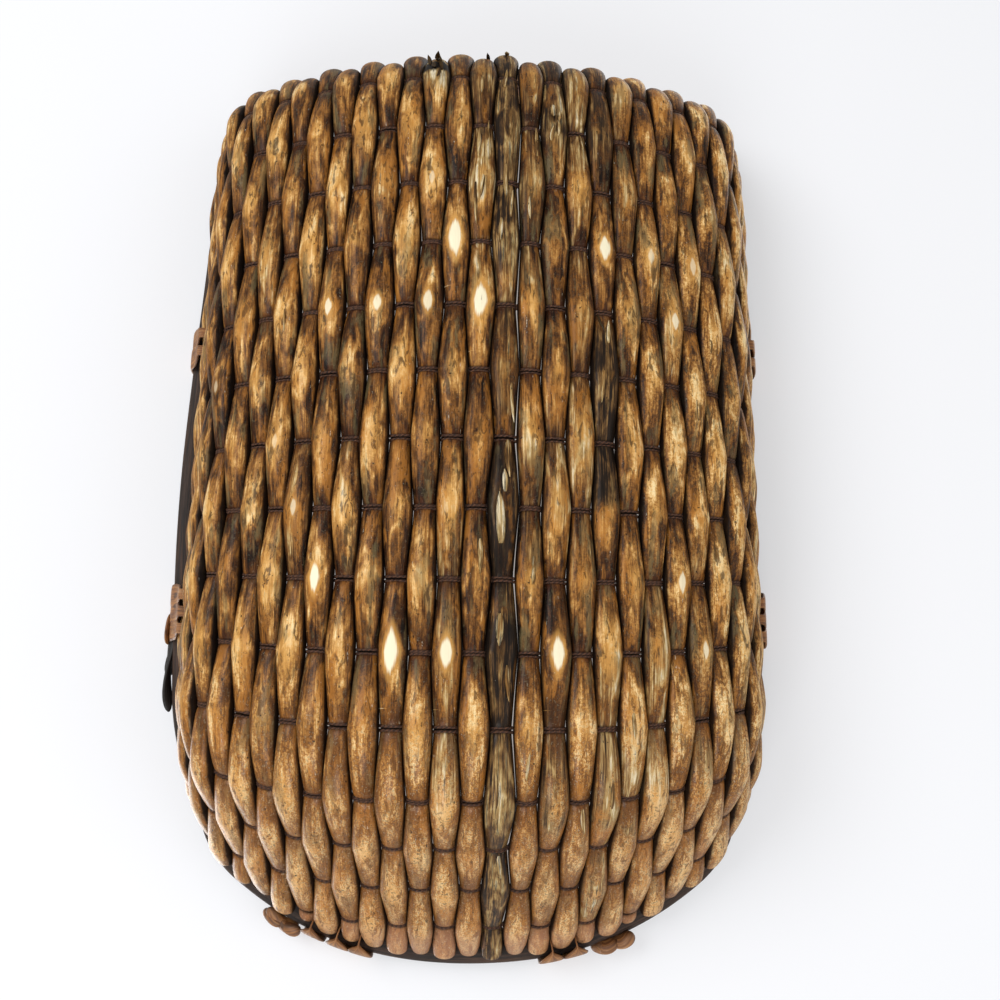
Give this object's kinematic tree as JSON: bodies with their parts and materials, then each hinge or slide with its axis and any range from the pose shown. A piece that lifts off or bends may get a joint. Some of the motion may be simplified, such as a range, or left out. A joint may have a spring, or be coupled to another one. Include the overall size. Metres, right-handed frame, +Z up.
{
  "type": "woven willow basket",
  "caption": "A shallow oblong willow basket: thick golden-brown rods crossed by thin dark threads, with a lashed dark wooden rim.",
  "frame": {"origin": "The middle of the bounding box at floor level, under the worn underside on which the basket stands.", "axes": "+X runs along the rods towards the end with the rounder rise, +Y runs across the rods, and +Z is up towards the open mouth."},
  "size_m": [0.3834, 0.243, 0.0994],
  "materials": {
    "willow": "satin",
    "hemp": "matte",
    "bent_wood": "satin",
    "split_strip": "satin"
  },
  "bodies": {
    "root": {"rod_01": "willow", "rod_02": "willow", "rod_03": "willow", "rod_04": "willow", "rod_05": "willow", "rod_06": "willow", "rod_07": "willow", "rod_08": "willow", "rod_09": "willow", "rod_10": "willow", "rod_11": "willow", "rod_12": "willow", "rod_13": "willow", "rod_14": "willow", "rod_15": "willow", "rod_16": "willow", "rod_17": "willow", "rod_18": "willow", "rod_19": "willow", "rod_20": "willow", "rod_21": "willow", "rod_22": "willow", "rod_23": "willow", "rod_24": "willow", "rod_25": "willow", "rod_26": "willow", "rod_27": "willow", "rod_28": "willow", "rod_29": "willow", "rod_30": "willow", "rod_31": "willow", "rod_32": "willow", "rod_33": "willow", "rod_34": "willow", "rod_35": "willow", "weft_01": "hemp", "weft_02": "hemp", "weft_03": "hemp", "weft_04": "hemp", "weft_05": "hemp", "weft_06": "hemp", "weft_07": "hemp", "weft_08": "hemp", "weft_09": "hemp", "weft_10": "hemp", "weft_11": "hemp", "weft_12": "hemp", "weft_13": "hemp", "weft_14": "hemp", "weft_15": "hemp", "weft_16": "hemp", "outer_hoop": "bent_wood", "inner_hoop": "bent_wood", "lashing_left_far": "split_strip", "lashing_left_near": "split_strip", "lashing_near_left": "split_strip", "lashing_near_right": "split_strip", "lashing_right_far": "split_strip", "lashing_right_near": "split_strip", "lashing_far": "split_strip"}
  },
  "joints": []
}
